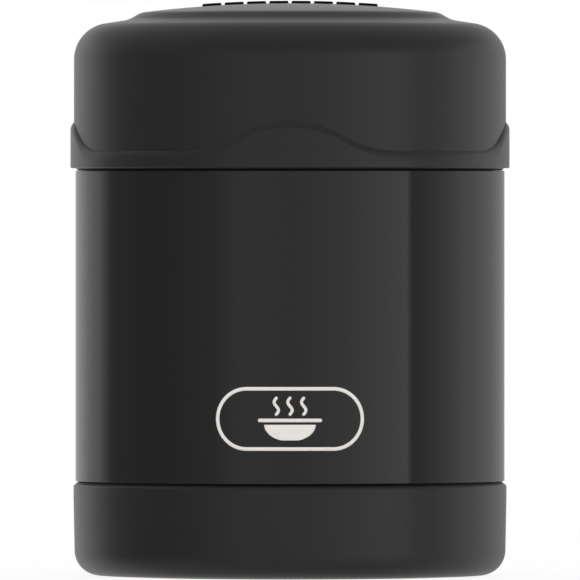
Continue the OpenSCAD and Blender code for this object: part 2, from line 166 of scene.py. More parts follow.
class FoodJarStage(bpy.types.PropertyGroup):
    floor: colour("Floor", "Pale floor", "#fbfbfa")
    distance: length("Camera distance", "From the camera to the jar's axis", 3.5)
    eye: length("Camera height", "Height of the camera", 74.5 * MM)
    aim: length("Aim height", "Height that the camera looks at", 57.1 * MM)
    lens: FloatProperty(
        name="Lens", description="Focal length of the camera", default=1088.8,
        min=20, max=3000, unit="CAMERA",
    )
    overhead: brightness("Overhead", "What the jar mirrors from straight above", 0.48)
    slanting: brightness("Slanting", "What the jar mirrors from above at a slant", 0.34)
    underfoot: brightness("Underfoot", "What the jar mirrors from below", 0.52)
    whitening: FloatProperty(
        name="Whitening", default=0.9, min=0, max=1, subtype="FACTOR",
        description="How far the floor goes to plain white where the camera sees it",
    )


def settings_of(context):
    """The sizes and the finishes that the pieces are made to."""
    return context.scene.food_jar_sizes, context.scene.food_jar_finish


def coat_radius(s):
    """Outside radius of the painted body."""
    return s.body_r + s.coat_t


# -------------------- outlines


def heading_of(a, b):
    """Direction from one point to another."""
    return math.atan2(b[1] - a[1], b[0] - a[0])


def bend_of(before, at, after):
    """Change of direction at a corner, positive to the left."""
    bend = heading_of(at, after) - heading_of(before, at)
    return (bend + math.pi) % (2 * math.pi) - math.pi


def corner(before, at, after, step):
    """Points of a rounded corner; at is (radius, height) or (radius, height, rounding)."""
    bend = bend_of(before, at, after)
    size = at[2] if len(at) > 2 else 0
    if size <= 0 or abs(bend) < 1e-3:
        return [(at[0], at[1])]
    heading = heading_of(before, at)
    reach = size * math.tan(abs(bend) / 2)
    start = (at[0] - reach * math.cos(heading), at[1] - reach * math.sin(heading))
    side = math.copysign(size, bend)
    centre = (start[0] - side * math.sin(heading), start[1] + side * math.cos(heading))
    steps = max(3, math.ceil(abs(bend) / math.radians(step)))
    angles = [heading + bend * i / steps for i in range(steps + 1)]
    return [(centre[0] + side * math.sin(a), centre[1] - side * math.cos(a)) for a in angles]


def rounded(path, step=7.5):
    """A path with its corners rounded, step degrees between an arc's points."""
    points = [path[0][:2]]
    for before, at, after in zip(path, path[1:], path[2:]):
        points += corner(before, at, after, step)
    return [tuple(p) for p in points + [path[-1][:2]]]


def shifted(path, distance):
    """A path moved to its left, with its roundings to suit."""
    moved = []
    for i, at in enumerate(path):
        before = path[i - 1] if i else None
        after = path[i + 1] if i + 1 < len(path) else None
        sides = []
        for a, b in ((before, at), (at, after)):
            if a is not None and b is not None:
                heading = heading_of(a, b)
                sides.append((-math.sin(heading), math.cos(heading)))
        if len(sides) == 1:
            # An end on the axis stays on it.
            outwards = 0 if at[0] < 1e-9 else sides[0][0]
            moved.append((at[0] + distance * outwards, at[1] + distance * sides[0][1]))
            continue
        share = distance / (1 + sides[0][0] * sides[1][0] + sides[0][1] * sides[1][1])
        size = at[2] if len(at) > 2 else 0
        if size > 0:
            size = max(0.0, size - math.copysign(distance, distance * bend_of(before, at, after)))
        moved.append((
            at[0] + share * (sides[0][0] + sides[1][0]),
            at[1] + share * (sides[0][1] + sides[1][1]),
            size,
        ))
    return moved


def wall(path, thickness, step=7.5):
    """Outline of a wall that follows a path and lies to its left."""
    return rounded(path, step) + rounded(shifted(path, thickness), step)[::-1]


def between(a, b, count):
    """The points, a first, that cut the way from a to b into count parts."""
    shares = [i / count for i in range(count)]
    return [(a[0] + (b[0] - a[0]) * t, a[1] + (b[1] - a[1]) * t) for t in shares]


def divided(outline, first, last, count):
    """An outline with the straight stretch between two of its points cut into count parts."""
    close = 0.02 * MM
    points = []
    for a, b in zip(outline, outline[1:] + outline[:1]):
        found = math.dist(a, first) < close and math.dist(b, last) < close
        points += between(a, b, count if found else 1)
    return points


# -------------------- meshes


def turned(outline, facets, bulge=None):
    """A shape made by turning a closed outline of (radius, height) about the jar's axis."""
    shape = bmesh.new()
    rings = []
    for radius, height in outline:
        if radius < 1e-7:
            rings.append([shape.verts.new((0, 0, height))] * facets)
            continue
        ring = []
        for i in range(facets):
            angle = 2 * math.pi * i / facets
            r = radius + (bulge(angle, radius, height) if bulge else 0)
            ring.append(shape.verts.new((r * math.cos(angle), r * math.sin(angle), height)))
        rings.append(ring)
    for a, b in zip(rings, rings[1:] + rings[:1]):
        if a[0] is a[1] and b[0] is b[1]:
            continue
        for i in range(facets):
            j = (i + 1) % facets
            shape.faces.new(list(dict.fromkeys((a[i], a[j], b[j], b[i]))))
    return shape


def stacked(shape, rings, closed=False):
    """Joins rings of as many points each with faces, in a loop if closed, or else with ends."""
    made = [[shape.verts.new(p) for p in ring] for ring in rings]
    for a, b in zip(made, made[1:] + (made[:1] if closed else [])):
        for i in range(len(a)):
            j = (i + 1) % len(a)
            shape.faces.new((a[i], a[j], b[j], b[i]))
    if not closed:
        shape.faces.new(made[0])
        shape.faces.new(made[-1])


def smooth(share):
    """Goes from 0 to 1 with soft ends."""
    share = min(1.0, max(0.0, share))
    return share * share * (3 - 2 * share)


def thread_on(wall_r, top, depth, middle, first, turns, pitch, root, crest):
    """Gives the bulge of a helical ridge on a wall of one radius, below its top. The ridge is
    at the height middle where the angle is 0. It starts at first, counted in turns, and root
    and crest are half its widths at its foot and at its top."""
    run_out = 1 / 12

    def bulge(angle, radius, height):
        """How far the wall stands out at a point."""
        if abs(radius - wall_r) > 1e-6 or height > top - 1e-6:
            return 0.0
        full = 0.0
        for lap in range(-1, 3):
            along = angle / (2 * math.pi) + lap
            if first <= along <= first + turns:
                off = abs(height - middle - pitch * along)
                ends = min(along - first, first + turns - along) / run_out
                full = max(full, smooth((root - off) / (root - crest)) * smooth(ends))
        return depth * full

    return bulge


def piece_from(context, name, shape, materials, body, node):
    """Makes a piece from a bmesh: smooth faces with crisp edges, its finish and its body."""
    crisp_from = math.radians(38)
    bmesh.ops.recalc_face_normals(shape, faces=shape.faces)
    mesh = bpy.data.meshes.new(name)
    shape.to_mesh(mesh)
    shape.free()
    for finish in materials:
        mesh.materials.append(finish)
    mesh.shade_smooth()
    mesh.set_sharp_from_angle(angle=crisp_from)
    piece = bpy.data.objects.new(name, mesh)
    context.scene.collection.objects.link(piece)
    weighted = piece.modifiers.new("Face weighted normals", "WEIGHTED_NORMAL")
    weighted.keep_sharp = True
    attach(piece, body)
    if node:
        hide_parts(node)
    return piece


# -------------------- materials


def add(tree, kind, inputs=None, **settings):
    """Adds a node with its settings. An input is a value, or a socket to link from."""
    made = tree.nodes.new(kind)
    for name, value in settings.items():
        setattr(made, name, value)
    for key, value in (inputs or {}).items():
        if isinstance(value, bpy.types.NodeSocket):
            tree.links.new(value, made.inputs[key])
        else:
            made.inputs[key].default_value = value
    return made


def rgba(base, factor=1.0):
    """A colour made lighter or darker, as a socket takes it."""
    return (*(min(1.0, c * factor) for c in base), 1.0)


def tones(base, darker, lighter):
    """A darker and a lighter tone of a colour."""
    return rgba(base, darker), rgba(base, lighter)


def started(name, base):
    """A new material, its tree, and coordinates that stay on the piece."""
    finish = bpy.data.materials.new(name)
    finish.use_nodes = True
    finish.diffuse_color = rgba(base)
    tree = finish.node_tree
    tree.nodes.clear()
    return finish, tree, add(tree, "ShaderNodeTexCoord").outputs["Object"]


def dressed(finish, patches, two_tones, roughness, relief, strength, rise, **inputs):
    """Ends a material. Patches lead it from one tone and roughness to the other, and relief
    lifts its surface. Other inputs are the shader's own, with _ for a space."""
    tree = finish.node_tree
    tint = add(tree, "ShaderNodeMix", {
        0: patches, 6: two_tones[0], 7: two_tones[1],
    }, data_type="RGBA")
    polish = add(tree, "ShaderNodeMapRange", {
        "Value": patches, "To Min": roughness[0], "To Max": roughness[1],
    })
    bump = add(tree, "ShaderNodeBump", {"Height": relief, "Strength": strength, "Distance": rise})
    shader = add(tree, "ShaderNodeBsdfPrincipled", {
        "Base Color": tint.outputs[2],
        "Roughness": polish.outputs["Result"],
        "Normal": bump.outputs["Normal"],
        **{key.replace("_", " "): value for key, value in inputs.items()},
    })
    add(tree, "ShaderNodeOutputMaterial", {"Surface": shader.outputs["BSDF"]})
    return finish


def moulded_polypropylene(name, base, grain, roughness):
    """Polypropylene moulded against a spark-eroded tool. The tool's fine grain spreads the
    shine into a broad soft sheen, paler where it is seen edge on, and the melt's flow leaves
    faint lighter and darker patches."""
    finish, tree, place = started(name, base)
    flow = add(tree, "ShaderNodeTexNoise", {"Vector": place, "Scale": 1 / (14 * MM), "Detail": 3.0})
    # The real grain is about 0.1 mm; it is drawn coarser, so that it shows.
    pits = add(tree, "ShaderNodeTexNoise", {"Vector": place, "Scale": 1 / grain, "Detail": 2.0})
    return dressed(
        finish, flow.outputs["Fac"], tones(base, 0.93, 1.07),
        (roughness - 0.03, roughness + 0.04), pits.outputs["Fac"], 0.3, 0.02 * MM,
        IOR=1.49, Sheen_Weight=0.09, Sheen_Roughness=0.4,
    )


def overmoulded_elastomer(base, grain):
    """Thermoplastic elastomer moulded over the lid. It is soft and dull, with a faint bloom
    that pales where it is seen edge on."""
    finish, tree, place = started("overmoulded_elastomer", base)
    haze = add(tree, "ShaderNodeTexNoise", {"Vector": place, "Scale": 1 / (9 * MM), "Detail": 4.0})
    # The real grain is about 0.1 mm; it is drawn coarser, so that it shows.
    pits = add(tree, "ShaderNodeTexNoise", {
        "Vector": place, "Scale": 1 / (0.8 * grain), "Detail": 2.0,
    })
    return dressed(
        finish, haze.outputs["Fac"], tones(base, 0.92, 1.08), (0.28, 0.36),
        pits.outputs["Fac"], 0.35, 0.02 * MM, IOR=1.5, Sheen_Weight=0.035, Sheen_Roughness=0.5,
    )


def baked_enamel(base, peel):
    """Black enamel sprayed on steel and baked. It levels to a satin film, so reflections keep
    crisp edges, and a long low ripple, the orange peel, is left in it."""
    finish, tree, place = started("baked_enamel", base)
    dust = add(tree, "ShaderNodeTexNoise", {"Vector": place, "Scale": 1 / (20 * MM), "Detail": 5.0})
    ripple = add(tree, "ShaderNodeTexNoise", {"Vector": place, "Scale": 1 / peel, "Detail": 1.0})
    return dressed(
        finish, dust.outputs["Fac"], tones(base, 0.94, 1.06), (0.07, 0.1),
        ripple.outputs["Fac"], 0.1, 0.01 * MM, IOR=1.5,
    )


def turned_steel(base, brush):
    """Stainless steel sheet, spun and finished with an abrasive while it turned. Fine lines
    run around it, which stretch its highlights along the axis."""
    finish, tree, place = started("turned_stainless_steel", base)
    parts = add(tree, "ShaderNodeSeparateXYZ", {0: place})
    flat = add(tree, "ShaderNodeVectorMath", {0: place, 1: (1.0, 1.0, 0.0)}, operation="MULTIPLY")
    radius = add(tree, "ShaderNodeVectorMath", {0: flat.outputs[0]}, operation="LENGTH")
    lines_at = add(tree, "ShaderNodeCombineXYZ", {
        0: radius.outputs["Value"], 2: parts.outputs["Z"],
    })
    # The real lines are about 0.05 mm apart; they are drawn coarser, so that they show.
    lines = add(tree, "ShaderNodeTexNoise", {
        "Vector": lines_at.outputs[0], "Scale": 1 / brush, "Detail": 3.0, "Roughness": 0.6,
    })
    patch = add(tree, "ShaderNodeTexNoise", {"Vector": place, "Scale": 1 / (11 * MM), "Detail": 4.0})
    both = add(tree, "ShaderNodeMix", {0: 0.35, 2: lines.outputs["Fac"], 3: patch.outputs["Fac"]})
    return dressed(
        finish, both.outputs[0], tones(base, 0.84, 1.04), (0.2, 0.38),
        lines.outputs["Fac"], 0.25, 0.01 * MM, Metallic=1.0,
    )


def printed_ink(base):
    """Silver ink, screen-printed and cured on the enamel. Its flakes lie flat and give it a
    pale, even colour with a slight sparkle."""
    finish, tree, place = started("screen_printed_ink", base)
    # The real flakes are about 0.02 mm; they are drawn coarser, so that they show.
    flakes = add(tree, "ShaderNodeTexVoronoi", {"Vector": place, "Scale": 1 / (0.12 * MM)})
    return dressed(
        finish, flakes.outputs["Distance"], tones(base, 1.04, 0.9), (0.38, 0.5),
        flakes.outputs["Distance"], 0.1, 0.005 * MM, IOR=1.5,
    )


def painted_bar_shade(base):
    """Painted shade on the raised bars: a near-black, dull colour, darker than the lid's own
    plastic. It hardly shines, and its surface is slightly lumpy."""
    finish, tree, place = started("painted_bar_shade_black", base)
    # The real lumps are about 0.1 mm; they are drawn coarser, so that they show.
    lumps = add(tree, "ShaderNodeTexNoise", {
        "Vector": place, "Scale": 1 / (0.25 * MM), "Detail": 3.0,
    })
    return dressed(
        finish, lumps.outputs["Fac"], tones(base, 0.8, 1.2), (0.6, 0.75),
        lumps.outputs["Fac"], 0.3, 0.03 * MM, IOR=1.45, Specular_IOR_Level=0.12,
    )


def pressed_silicone(base):
    """Silicone rubber pressed in a heated mould. Light goes a little way in, so its edges look
    soft, and its skin picks up a faint dusting."""
    finish, tree, place = started("pressed_silicone", base)
    dust = add(tree, "ShaderNodeTexNoise", {"Vector": place, "Scale": 1 / (4 * MM), "Detail": 6.0})
    return dressed(
        finish, dust.outputs["Fac"], tones(base, 0.94, 1.06), (0.4, 0.55),
        dust.outputs["Fac"], 0.15, 0.05 * MM, IOR=1.41, Subsurface_Weight=0.25,
        Subsurface_Radius=(1.0, 1.0, 1.0), Subsurface_Scale=0.6 * MM,
    )


def speckled(name, colours, size, roughness, rise, metallic):
    """A mineral or cellular surface, of cells of two colours that stand a little apart."""
    finish, tree, place = started(name, colours[0])
    cells = add(tree, "ShaderNodeTexVoronoi", {"Vector": place, "Scale": 1 / size})
    return dressed(
        finish, cells.outputs["Distance"], (rgba(colours[0]), rgba(colours[1])), roughness,
        cells.outputs["Distance"], 0.5, rise, Metallic=metallic,
    )


def shell_plastic(f):
    """The plastic of the lid's shell and the boot, made once."""
    name, roughness = "moulded_polypropylene", 0.34
    made = bpy.data.materials.get(name)
    return made or moulded_polypropylene(name, f.plastic, f.grain, roughness)


def bare_steel(f):
    """The steel of the neck, the vessel and the fittings, made once."""
    return bpy.data.materials.get("turned_stainless_steel") or turned_steel(f.steel, f.brush)


# -------------------- pieces


def lid_face(s):
    """Outer face of the lid's shell, from its lower edge over the side and top to the axis,
    with the radius of the crown's ball and the crown's height."""
    rim_slope, step_run = math.radians(8.7), 2.4 * MM
    step_round, crown_round = 5.5 * MM, 4.0 * MM
    cuts = 12
    top = high("lid_shell") - s.bar_h
    crown_r = s.lid_r - s.rim_w
    ball = (crown_r**2 + s.crown_rise**2) / (2 * s.crown_rise)
    foot_r = crown_r + step_run
    foot_z = top - s.crown_rise - s.step_h
    rim_z = foot_z - math.tan(rim_slope) * (s.lid_r - foot_r)
    face = [
        (s.lid_r, low("lid_shell")),
        (s.lid_r, rim_z, s.lid_round),
        (foot_r, foot_z, step_round),
    ]
    for i in range(cuts + 1):
        r = crown_r * (1 - i / cuts)
        face.append((r, top - ball + math.sqrt(ball**2 - r**2), 0 if i else crown_round))
    return face, ball, top


class FOODJAR_OT_lid_shell(bpy.types.Operator):
    """Makes the lid's moulded shell, with the plain raised bars on its crown"""

    bl_idname = "food_jar.lid_shell"
    bl_label = "Lid shell"

    def execute(self, context):
        s, f = settings_of(context)
        face, ball, top = lid_face(s)
        shape = turned(wall(face, s.lid_wall, step=5), s.facets)
        plain = len(shape.faces)
        for i in range(s.bar_count):
            self.bar(shape, s, (i - (s.bar_count - 1) / 2) * s.bar_spacing, ball, top)
        shape.faces.ensure_lookup_table()
        for painted in shape.faces[plain:]:
            painted.material_index = 1
        # The bars' near-black colour is painted shade.
        coats = [shell_plastic(f), painted_bar_shade(f.mark)]
        piece_from(context, "lid_top", shape, coats, "lid", "lid_shell")
        return {"FINISHED"}

    def bar(self, shape, s, x, ball, top):
        """Adds one bar with softened edges, its root sunk in the crown."""
        half, straight, count = s.bar_w / 2, (s.bar_l - s.bar_w) / 2, 40
        # From the root to the top: how far in from the bar's side, and how far above the crown.
        levels = [
            (0.4 * MM, -0.3 * MM), (-0.18 * MM, -0.3 * MM), (-0.18 * MM, -0.02 * MM),
            (-0.06 * MM, 0.03 * MM), (0.0, 0.12 * MM), (0.0, s.bar_h - 0.18 * MM),
            (0.05 * MM, s.bar_h - 0.07 * MM), (0.18 * MM, s.bar_h), (0.6 * MM, s.bar_h),
            (1.2 * MM, s.bar_h), (half - 0.05 * MM, s.bar_h),
        ]
        rings = []
        for inset, lift in levels:
            ring = []
            for k in range(count):
                angle = 2 * math.pi * (k + 0.5) / count
                px = x + (half - inset) * math.cos(angle)
                py = math.copysign(straight, math.sin(angle)) + (half - inset) * math.sin(angle)
                ring.append((px, py, top - ball + math.sqrt(ball**2 - px**2 - py**2) + lift))
            rings.append(ring)
        stacked(shape, rings)


class FOODJAR_OT_grip_band(bpy.types.Operator):
    """Makes the soft grip band around the lid's lower edge, with its wavy upper edge"""

    bl_idname = "food_jar.grip_band"
    bl_label = "Grip band"

    def execute(self, context):
        s, f = settings_of(context)
        overlap, edge, fit, lip_slope = 0.7 * MM, 0.3 * MM, 0.03 * MM, 0.38 * MM
        lobe_ease, waist_ease, slant, cuts = 1.5 * MM, 2.5 * MM, math.radians(50), 16
        tip, ledge = low("lid_grip_band"), low("lid_shell")
        bottom = ledge - overlap
        inner, lip = s.lid_r + fit, s.lid_r - s.lid_wall
        seam = coat_radius(s) - s.seam_depth
        sections = []
        for i in range(s.band_facets):
            angle = 2 * math.pi * i / s.band_facets
            top = bottom + self.height(s, math.degrees(angle))
            path = [(lip, tip), (seam - lip_slope, tip), (seam, bottom)]
            path += corner(path[-1], (s.band_r, bottom, edge), (s.band_r, top), step=23)
            # The upper edge is an arc on the lobes. Between them it is eased over more of the
            # height: the band draws in slowly and then turns to the lid.
            lobe = smooth(1.5 * (top - bottom - s.band_low) / (s.band_high - s.band_low))
            ease = waist_ease + (lobe_ease - waist_ease) * lobe
            for k in range(cuts + 1):
                t = 1 - (1 - k / cuts) ** 1.5
                a = slant * t
                inwards = lobe * (1 - math.cos(a)) / (1 - math.cos(slant))
                inwards += (1 - lobe) * (0.72 * t**2 + 0.28 * t**18)
                upwards = lobe * math.sin(a) / math.sin(slant) + (1 - lobe) * t
                path.append((s.band_r - (s.band_r - inner) * inwards, top - ease * (1 - upwards)))
            path += [(inner, ledge), (lip, ledge)]
            sections.append([(r * math.cos(angle), r * math.sin(angle), z) for r, z in path])
        shape = bmesh.new()
        stacked(shape, sections, closed=True)
        finish = overmoulded_elastomer(f.grip, f.grain)
        piece_from(context, "lid_grip", shape, [finish], "lid", "lid_grip_band")
        return {"FINISHED"}

    def height(self, s, degrees):
        """Height of the band above its lower edge. A lobe has a short level crest, and its
        flanks run out a little further at their foot."""
        # In degrees from a lobe's middle.
        crest, flank, foot, foot_w = 1.5, 25.5, 18, 12
        lift = 0.03
        sector = 360 / s.band_lobes
        from_lobe = abs((degrees + sector / 2) % sector - sector / 2)
        down = min(1.0, max(0.0, (from_lobe - crest) / flank))
        out = min(1.0, max(0.0, (from_lobe - foot) / foot_w))
        share = (1 + math.cos(math.pi * down)) / 2 + lift * math.sin(math.pi * out) ** 2
        return s.band_low + (s.band_high - s.band_low) * share


class FOODJAR_OT_inner_cap(bpy.types.Operator):
    """Makes the lid's inner cap: skirt, thread, gasket groove and plug"""

    bl_idname = "food_jar.inner_cap"
    bl_label = "Inner cap"

    def execute(self, context):
        s, f = settings_of(context)
        sheet, dish, bead, soft = 1.5 * MM, 0.3 * MM, 0.4 * MM, 0.2 * MM
        dish_r, bore_end, bore_mouth, cuts = 24 * MM, 0.4 * MM, 0.35 * MM, 84
        bore_r = s.body_r - s.shoulder_w + s.ridge_h + 0.3 * MM
        plug_r = s.mouth_r - 0.85 * MM
        edge, top = low("lid_inner_cap"), high("lid_inner_cap")
        ceiling = top - sheet
        bead_top, plug_z = s.rim_z - 0.05 * MM, s.rim_z - 6.0 * MM
        groove_r = plug_r - 0.6 * MM
        inner_r = groove_r - sheet
        flange_r = radius_of("lid_inner_cap")
        outline = rounded([
            (0, plug_z + dish),
            (dish_r, plug_z + dish, 0.6 * MM),
            (dish_r + 0.8 * MM, plug_z, 0.6 * MM),
            (plug_r, plug_z, 2.0 * MM),
            (plug_r, bead_top - 3 * bead, 0.3 * MM),
            (plug_r + bead, bead_top - 2 * bead, soft),
            (plug_r + bead, bead_top, 0.15 * MM),
            (groove_r, bead_top, soft),
            (groove_r, ceiling, 0.3 * MM),
            (bore_r, ceiling, bore_end),
            (bore_r, edge, bore_mouth),
            (flange_r, edge, soft),
            (flange_r, edge + sheet, soft),
            (bore_r + sheet, edge + sheet, 0.5 * MM),
            (bore_r + sheet, top, 1.5 * MM),
            (inner_r, top, 0.4 * MM),
            (inner_r, plug_z + sheet, 1.0 * MM),
            (0, plug_z + sheet),
        ])
        outline = divided(outline, (bore_r, ceiling - bore_end), (bore_r, edge + bore_mouth), cuts)
        thread = thread_on(
            bore_r, top, depth=-0.95 * MM, middle=edge + 1.64 * MM, first=-0.1, turns=1.2,
            pitch=s.pitch, root=0.9 * MM, crest=0.4 * MM,
        )
        shape = turned(outline, s.facets, thread)
        finish = moulded_polypropylene("glossed_polypropylene", f.cap, f.grain, roughness=0.322)
        piece_from(context, "lid_liner", shape, [finish], "lid", "lid_inner_cap")
        return {"FINISHED"}


class FOODJAR_OT_gasket(bpy.types.Operator):
    """Makes the silicone gasket, with its soft edges and the slit around it"""

    bl_idname = "food_jar.gasket"
    bl_label = "Gasket"

    def execute(self, context):
        s, f = settings_of(context)
        soft, lip_round, slit_h, slit_d = 0.25 * MM, 0.12 * MM, 0.5 * MM, 1.5 * MM
        inner_r = s.mouth_r - 1.3 * MM
        outer_r = radius_of("lid_gasket")
        z, top = low("lid_gasket"), high("lid_gasket")
        middle = (z + top) / 2
        outline = rounded([
            (inner_r, middle),
            (inner_r, z, soft),
            (outer_r, z, soft),
            (outer_r, middle - slit_h, lip_round),
            (outer_r - slit_d, middle, 0.1 * MM),
            (outer_r, middle + slit_h, lip_round),
            (outer_r, top, soft),
            (inner_r, top, soft),
            (inner_r, middle),
        ])[:-1]
        shape = turned(outline, s.facets)
        finish = pressed_silicone(f.silicone)
        piece_from(context, "seal_ring", shape, [finish], "gasket", "lid_gasket")
        return {"FINISHED"}


class FOODJAR_OT_steel_body(bpy.types.Operator):
    """Makes the painted steel body with its shoulder, neck and rolled thread"""

    bl_idname = "food_jar.steel_body"
    bl_label = "Steel body"

    def execute(self, context):
        s, f = settings_of(context)
        seat_w, root_round, skin, cuts = 1.3 * MM, 1.5 * MM, 0.2 * MM, 72
        coat_r = coat_radius(s)
        seat_r, neck_r = s.body_r - seat_w, s.body_r - s.shoulder_w
        body_z = s.boot_h + s.seam_gap
        shoulder_z = s.rim_z - s.neck_h
        outline = wall([
            (seat_r, low("outer_shell")),
            (seat_r, body_z, 0.4 * MM),
            (coat_r, body_z, s.edge_round),
            (coat_r, shoulder_z, s.edge_round),
            (neck_r, shoulder_z, root_round),
            (neck_r, s.neck_top),
        ], s.shell_t)
        neck = (neck_r, shoulder_z + root_round), (neck_r, s.neck_top)
        thread = thread_on(
            neck_r, s.neck_top, depth=s.ridge_h, middle=shoulder_z + 4.6 * MM, first=0.0,
            turns=1.3, pitch=s.pitch, root=1.3 * MM, crest=0.6 * MM,
        )
        shape = turned(divided(outline, *neck, cuts), s.facets, thread)
        shape.faces.ensure_lookup_table()
        # The enamel ends on the neck's root, and the sheet is bare inside.
        bare_from = shoulder_z + 1.1 * MM
        for face in shape.faces:
            middle = face.calc_center_median()
            r = math.hypot(middle.x, middle.y)
            inside = r < neck_r - skin or (
                r < s.body_r - skin and body_z + skin < middle.z < shoulder_z - skin
            )
            face.material_index = 1 if inside or middle.z > bare_from else 0
        coats = [baked_enamel(f.enamel, f.peel), bare_steel(f)]
        piece_from(context, "painted_body", shape, coats, "jar", "outer_shell")
        return {"FINISHED"}


class FOODJAR_OT_vessel(bpy.types.Operator):
    """Makes the inner vessel, with its slope to the mouth and its rolled rim"""

    bl_idname = "food_jar.vessel"
    bl_label = "Inner vessel"

    def execute(self, context):
        s, f = settings_of(context)
        base_round, bend, slope_h, fit = 5.0 * MM, 2.0 * MM, 2.9 * MM, 0.05 * MM
        vessel_r = s.body_r - s.shell_t - s.vacuum_w - s.vessel_t
        neck_r, neck_z = s.body_r - s.shoulder_w, s.rim_z - s.neck_h - 1.9 * MM
        floor_z, lip_z = low("inner_vessel") + s.vessel_t, s.rim_z - s.vessel_t
        path = [
            (0, floor_z),
            (vessel_r, floor_z, base_round),
            (vessel_r, neck_z - slope_h, bend),
            (s.mouth_r, neck_z, bend),
            (s.mouth_r, s.rim_z, 1.0 * MM),
            (neck_r, s.rim_z, 0.2 * MM),
            (neck_r, lip_z),
        ]
        inner = rounded(shifted(path[:-1], -s.vessel_t))
        inner[-1] = (neck_r - fit, lip_z)
        shape = turned(rounded(path) + inner[::-1], s.facets)
        coats = [bare_steel(f)]
        piece_from(context, "steel_vessel", shape, coats, "jar", "inner_vessel")
        return {"FINISHED"}


class FOODJAR_OT_boot(bpy.types.Operator):
    """Makes the moulded boot, with its foot ring and the recess inside it"""

    bl_idname = "food_jar.boot"
    bl_label = "Boot"

    def execute(self, context):
        s, f = settings_of(context)
        taper, toe_w, foot_w, wall_t = 0.3 * MM, 10.4 * MM, 5.1 * MM, 1.2 * MM
        recess_h, gate_h, gate_r, floor_z = 0.8 * MM, 0.2 * MM, 2.0 * MM, 3.4 * MM
        low_r = s.boot_r - taper
        foot_r = low_r - toe_w
        recess_r = foot_r - foot_w
        bore_r, lip_r = s.body_r - wall_t, coat_radius(s) - s.seam_depth
        boot_top = s.boot_h - 0.45 * MM
        outline = rounded([
            (0, recess_h - gate_h),
            (gate_r, recess_h - gate_h, 0.15 * MM),
            (gate_r + gate_h, recess_h, 0.15 * MM),
            (recess_r - recess_h, recess_h, 0.4 * MM),
            (recess_r, 0, 0.4 * MM),
            (foot_r, 0, 10 * MM),
            (low_r, 0.4 * MM, s.boot_round),
            (s.boot_r, boot_top - 2.6 * MM, 3 * MM),
            (s.boot_r, boot_top, 0.7 * MM),
            (lip_r, boot_top),
            (lip_r - 0.5 * MM, s.boot_h),
            (bore_r, s.boot_h, 0.2 * MM),
            (bore_r, floor_z, 1 * MM),
            (0, floor_z),
        ], step=6)
        shape = turned(outline, s.facets)
        coats = [shell_plastic(f)]
        piece_from(context, "boot", shape, coats, "jar", "base_boot")
        return {"FINISHED"}


class FOODJAR_OT_body_print(bpy.types.Operator):
    """Prints a plain bowl with steam in a plain frame on the front of the body"""

    bl_idname = "food_jar.body_print"
    bl_label = "Body print"

    def execute(self, context):
        s, f = settings_of(context)
        film_t, clear, cut, line = 0.02 * MM, 0.004 * MM, 0.8 * MM, s.mark_line
        self.r, self.z = coat_radius(s) + clear, s.mark_z
        shape = bmesh.new()
        # The frame: a half round at each end.
        end = (s.mark_h - line) / 2
        reach = (s.mark_w - line) / 2 - end
        count = 96
        ends = []
        for k in range(count):
            a = 2 * math.pi * (k + 0.5) / count
            ends.append((math.copysign(reach, math.cos(a)) + end * math.cos(a), end * math.sin(a)))
        border = []
        for a, b in zip(ends, ends[1:] + ends[:1]):
            border += between(a, b, max(1, round(math.dist(a, b) / cut)))
        self.stroke(shape, border, line, closed=True)
        # The bowl: a line for its rim, and a round side cut off at the foot.
        self.stroke(shape, [(x * MM, -0.3 * MM) for x in range(-6, 7)], line)
        bowl_r, bowl_h, bowl_z, cut_off, rows, half = 5.1 * MM, 3.1 * MM, -1.15 * MM, 0.94, 14, 8
        bowl = []
        for i in range(rows + 1):
            down = i / rows
            r = bowl_r * math.sqrt(1 - (down * cut_off) ** 2)
            row = [(r * (j / half - 1), bowl_z - bowl_h * down) for j in range(2 * half + 1)]
            bowl.append([shape.verts.new(self.on_body(*p)) for p in row])
        for a, b in zip(bowl, bowl[1:]):
            for i in range(2 * half):
                shape.faces.new((a[i], a[i + 1], b[i + 1], b[i]))
        # The steam: three waves.
        sway, foot, rise, steps = 0.45 * MM, 0.9 * MM, 3.2 * MM, 12
        for x in (-2.7 * MM, 0.0, 2.7 * MM):
            self.stroke(shape, [
                (x + sway * math.sin(2 * math.pi * t / steps), foot + rise * t / steps)
                for t in range(steps + 1)
            ], line * 0.85)
        piece = piece_from(context, "body_print", shape, [printed_ink(f.ink)], "jar", None)
        film = piece.modifiers.new("Ink film", "SOLIDIFY")
        film.thickness = film_t
        film.offset = 1.0
        return {"FINISHED"}

    def on_body(self, across, up):
        """A flat point wrapped on the body's front."""
        angle = across / self.r
        return (self.r * math.sin(angle), -self.r * math.cos(angle), self.z + up)

    def stroke(self, shape, points, width, closed=False):
        """Draws a line of one width, with round ends unless it is closed."""
        count, half = len(points), width / 2

        def beside(i, angle):
            """A corner half the width from a point, in some direction."""
            x, y = points[i]
            place = self.on_body(x + half * math.cos(angle), y + half * math.sin(angle))
            return shape.verts.new(place)

        headings, sides = [], []
        for i in range(count):
            before = points[i - 1 if i or closed else 0]
            after = points[(i + 1) % count if i + 1 < count or closed else i]
            headings.append(heading_of(before, after))
            sides.append([beside(i, headings[i] + turn) for turn in (math.pi / 2, -math.pi / 2)])
        for a, b in zip(sides, sides[1:] + (sides[:1] if closed else [])):
            shape.faces.new((a[0], b[0], b[1], a[1]))
        if not closed:
            for i, turn in ((0, math.pi / 2), (count - 1, -math.pi / 2)):
                cap = [beside(i, headings[i] + turn + math.pi * k / 8) for k in range(1, 8)]
                first, last = sides[i] if i == 0 else sides[i][::-1]
                shape.faces.new((first, *cap, last))


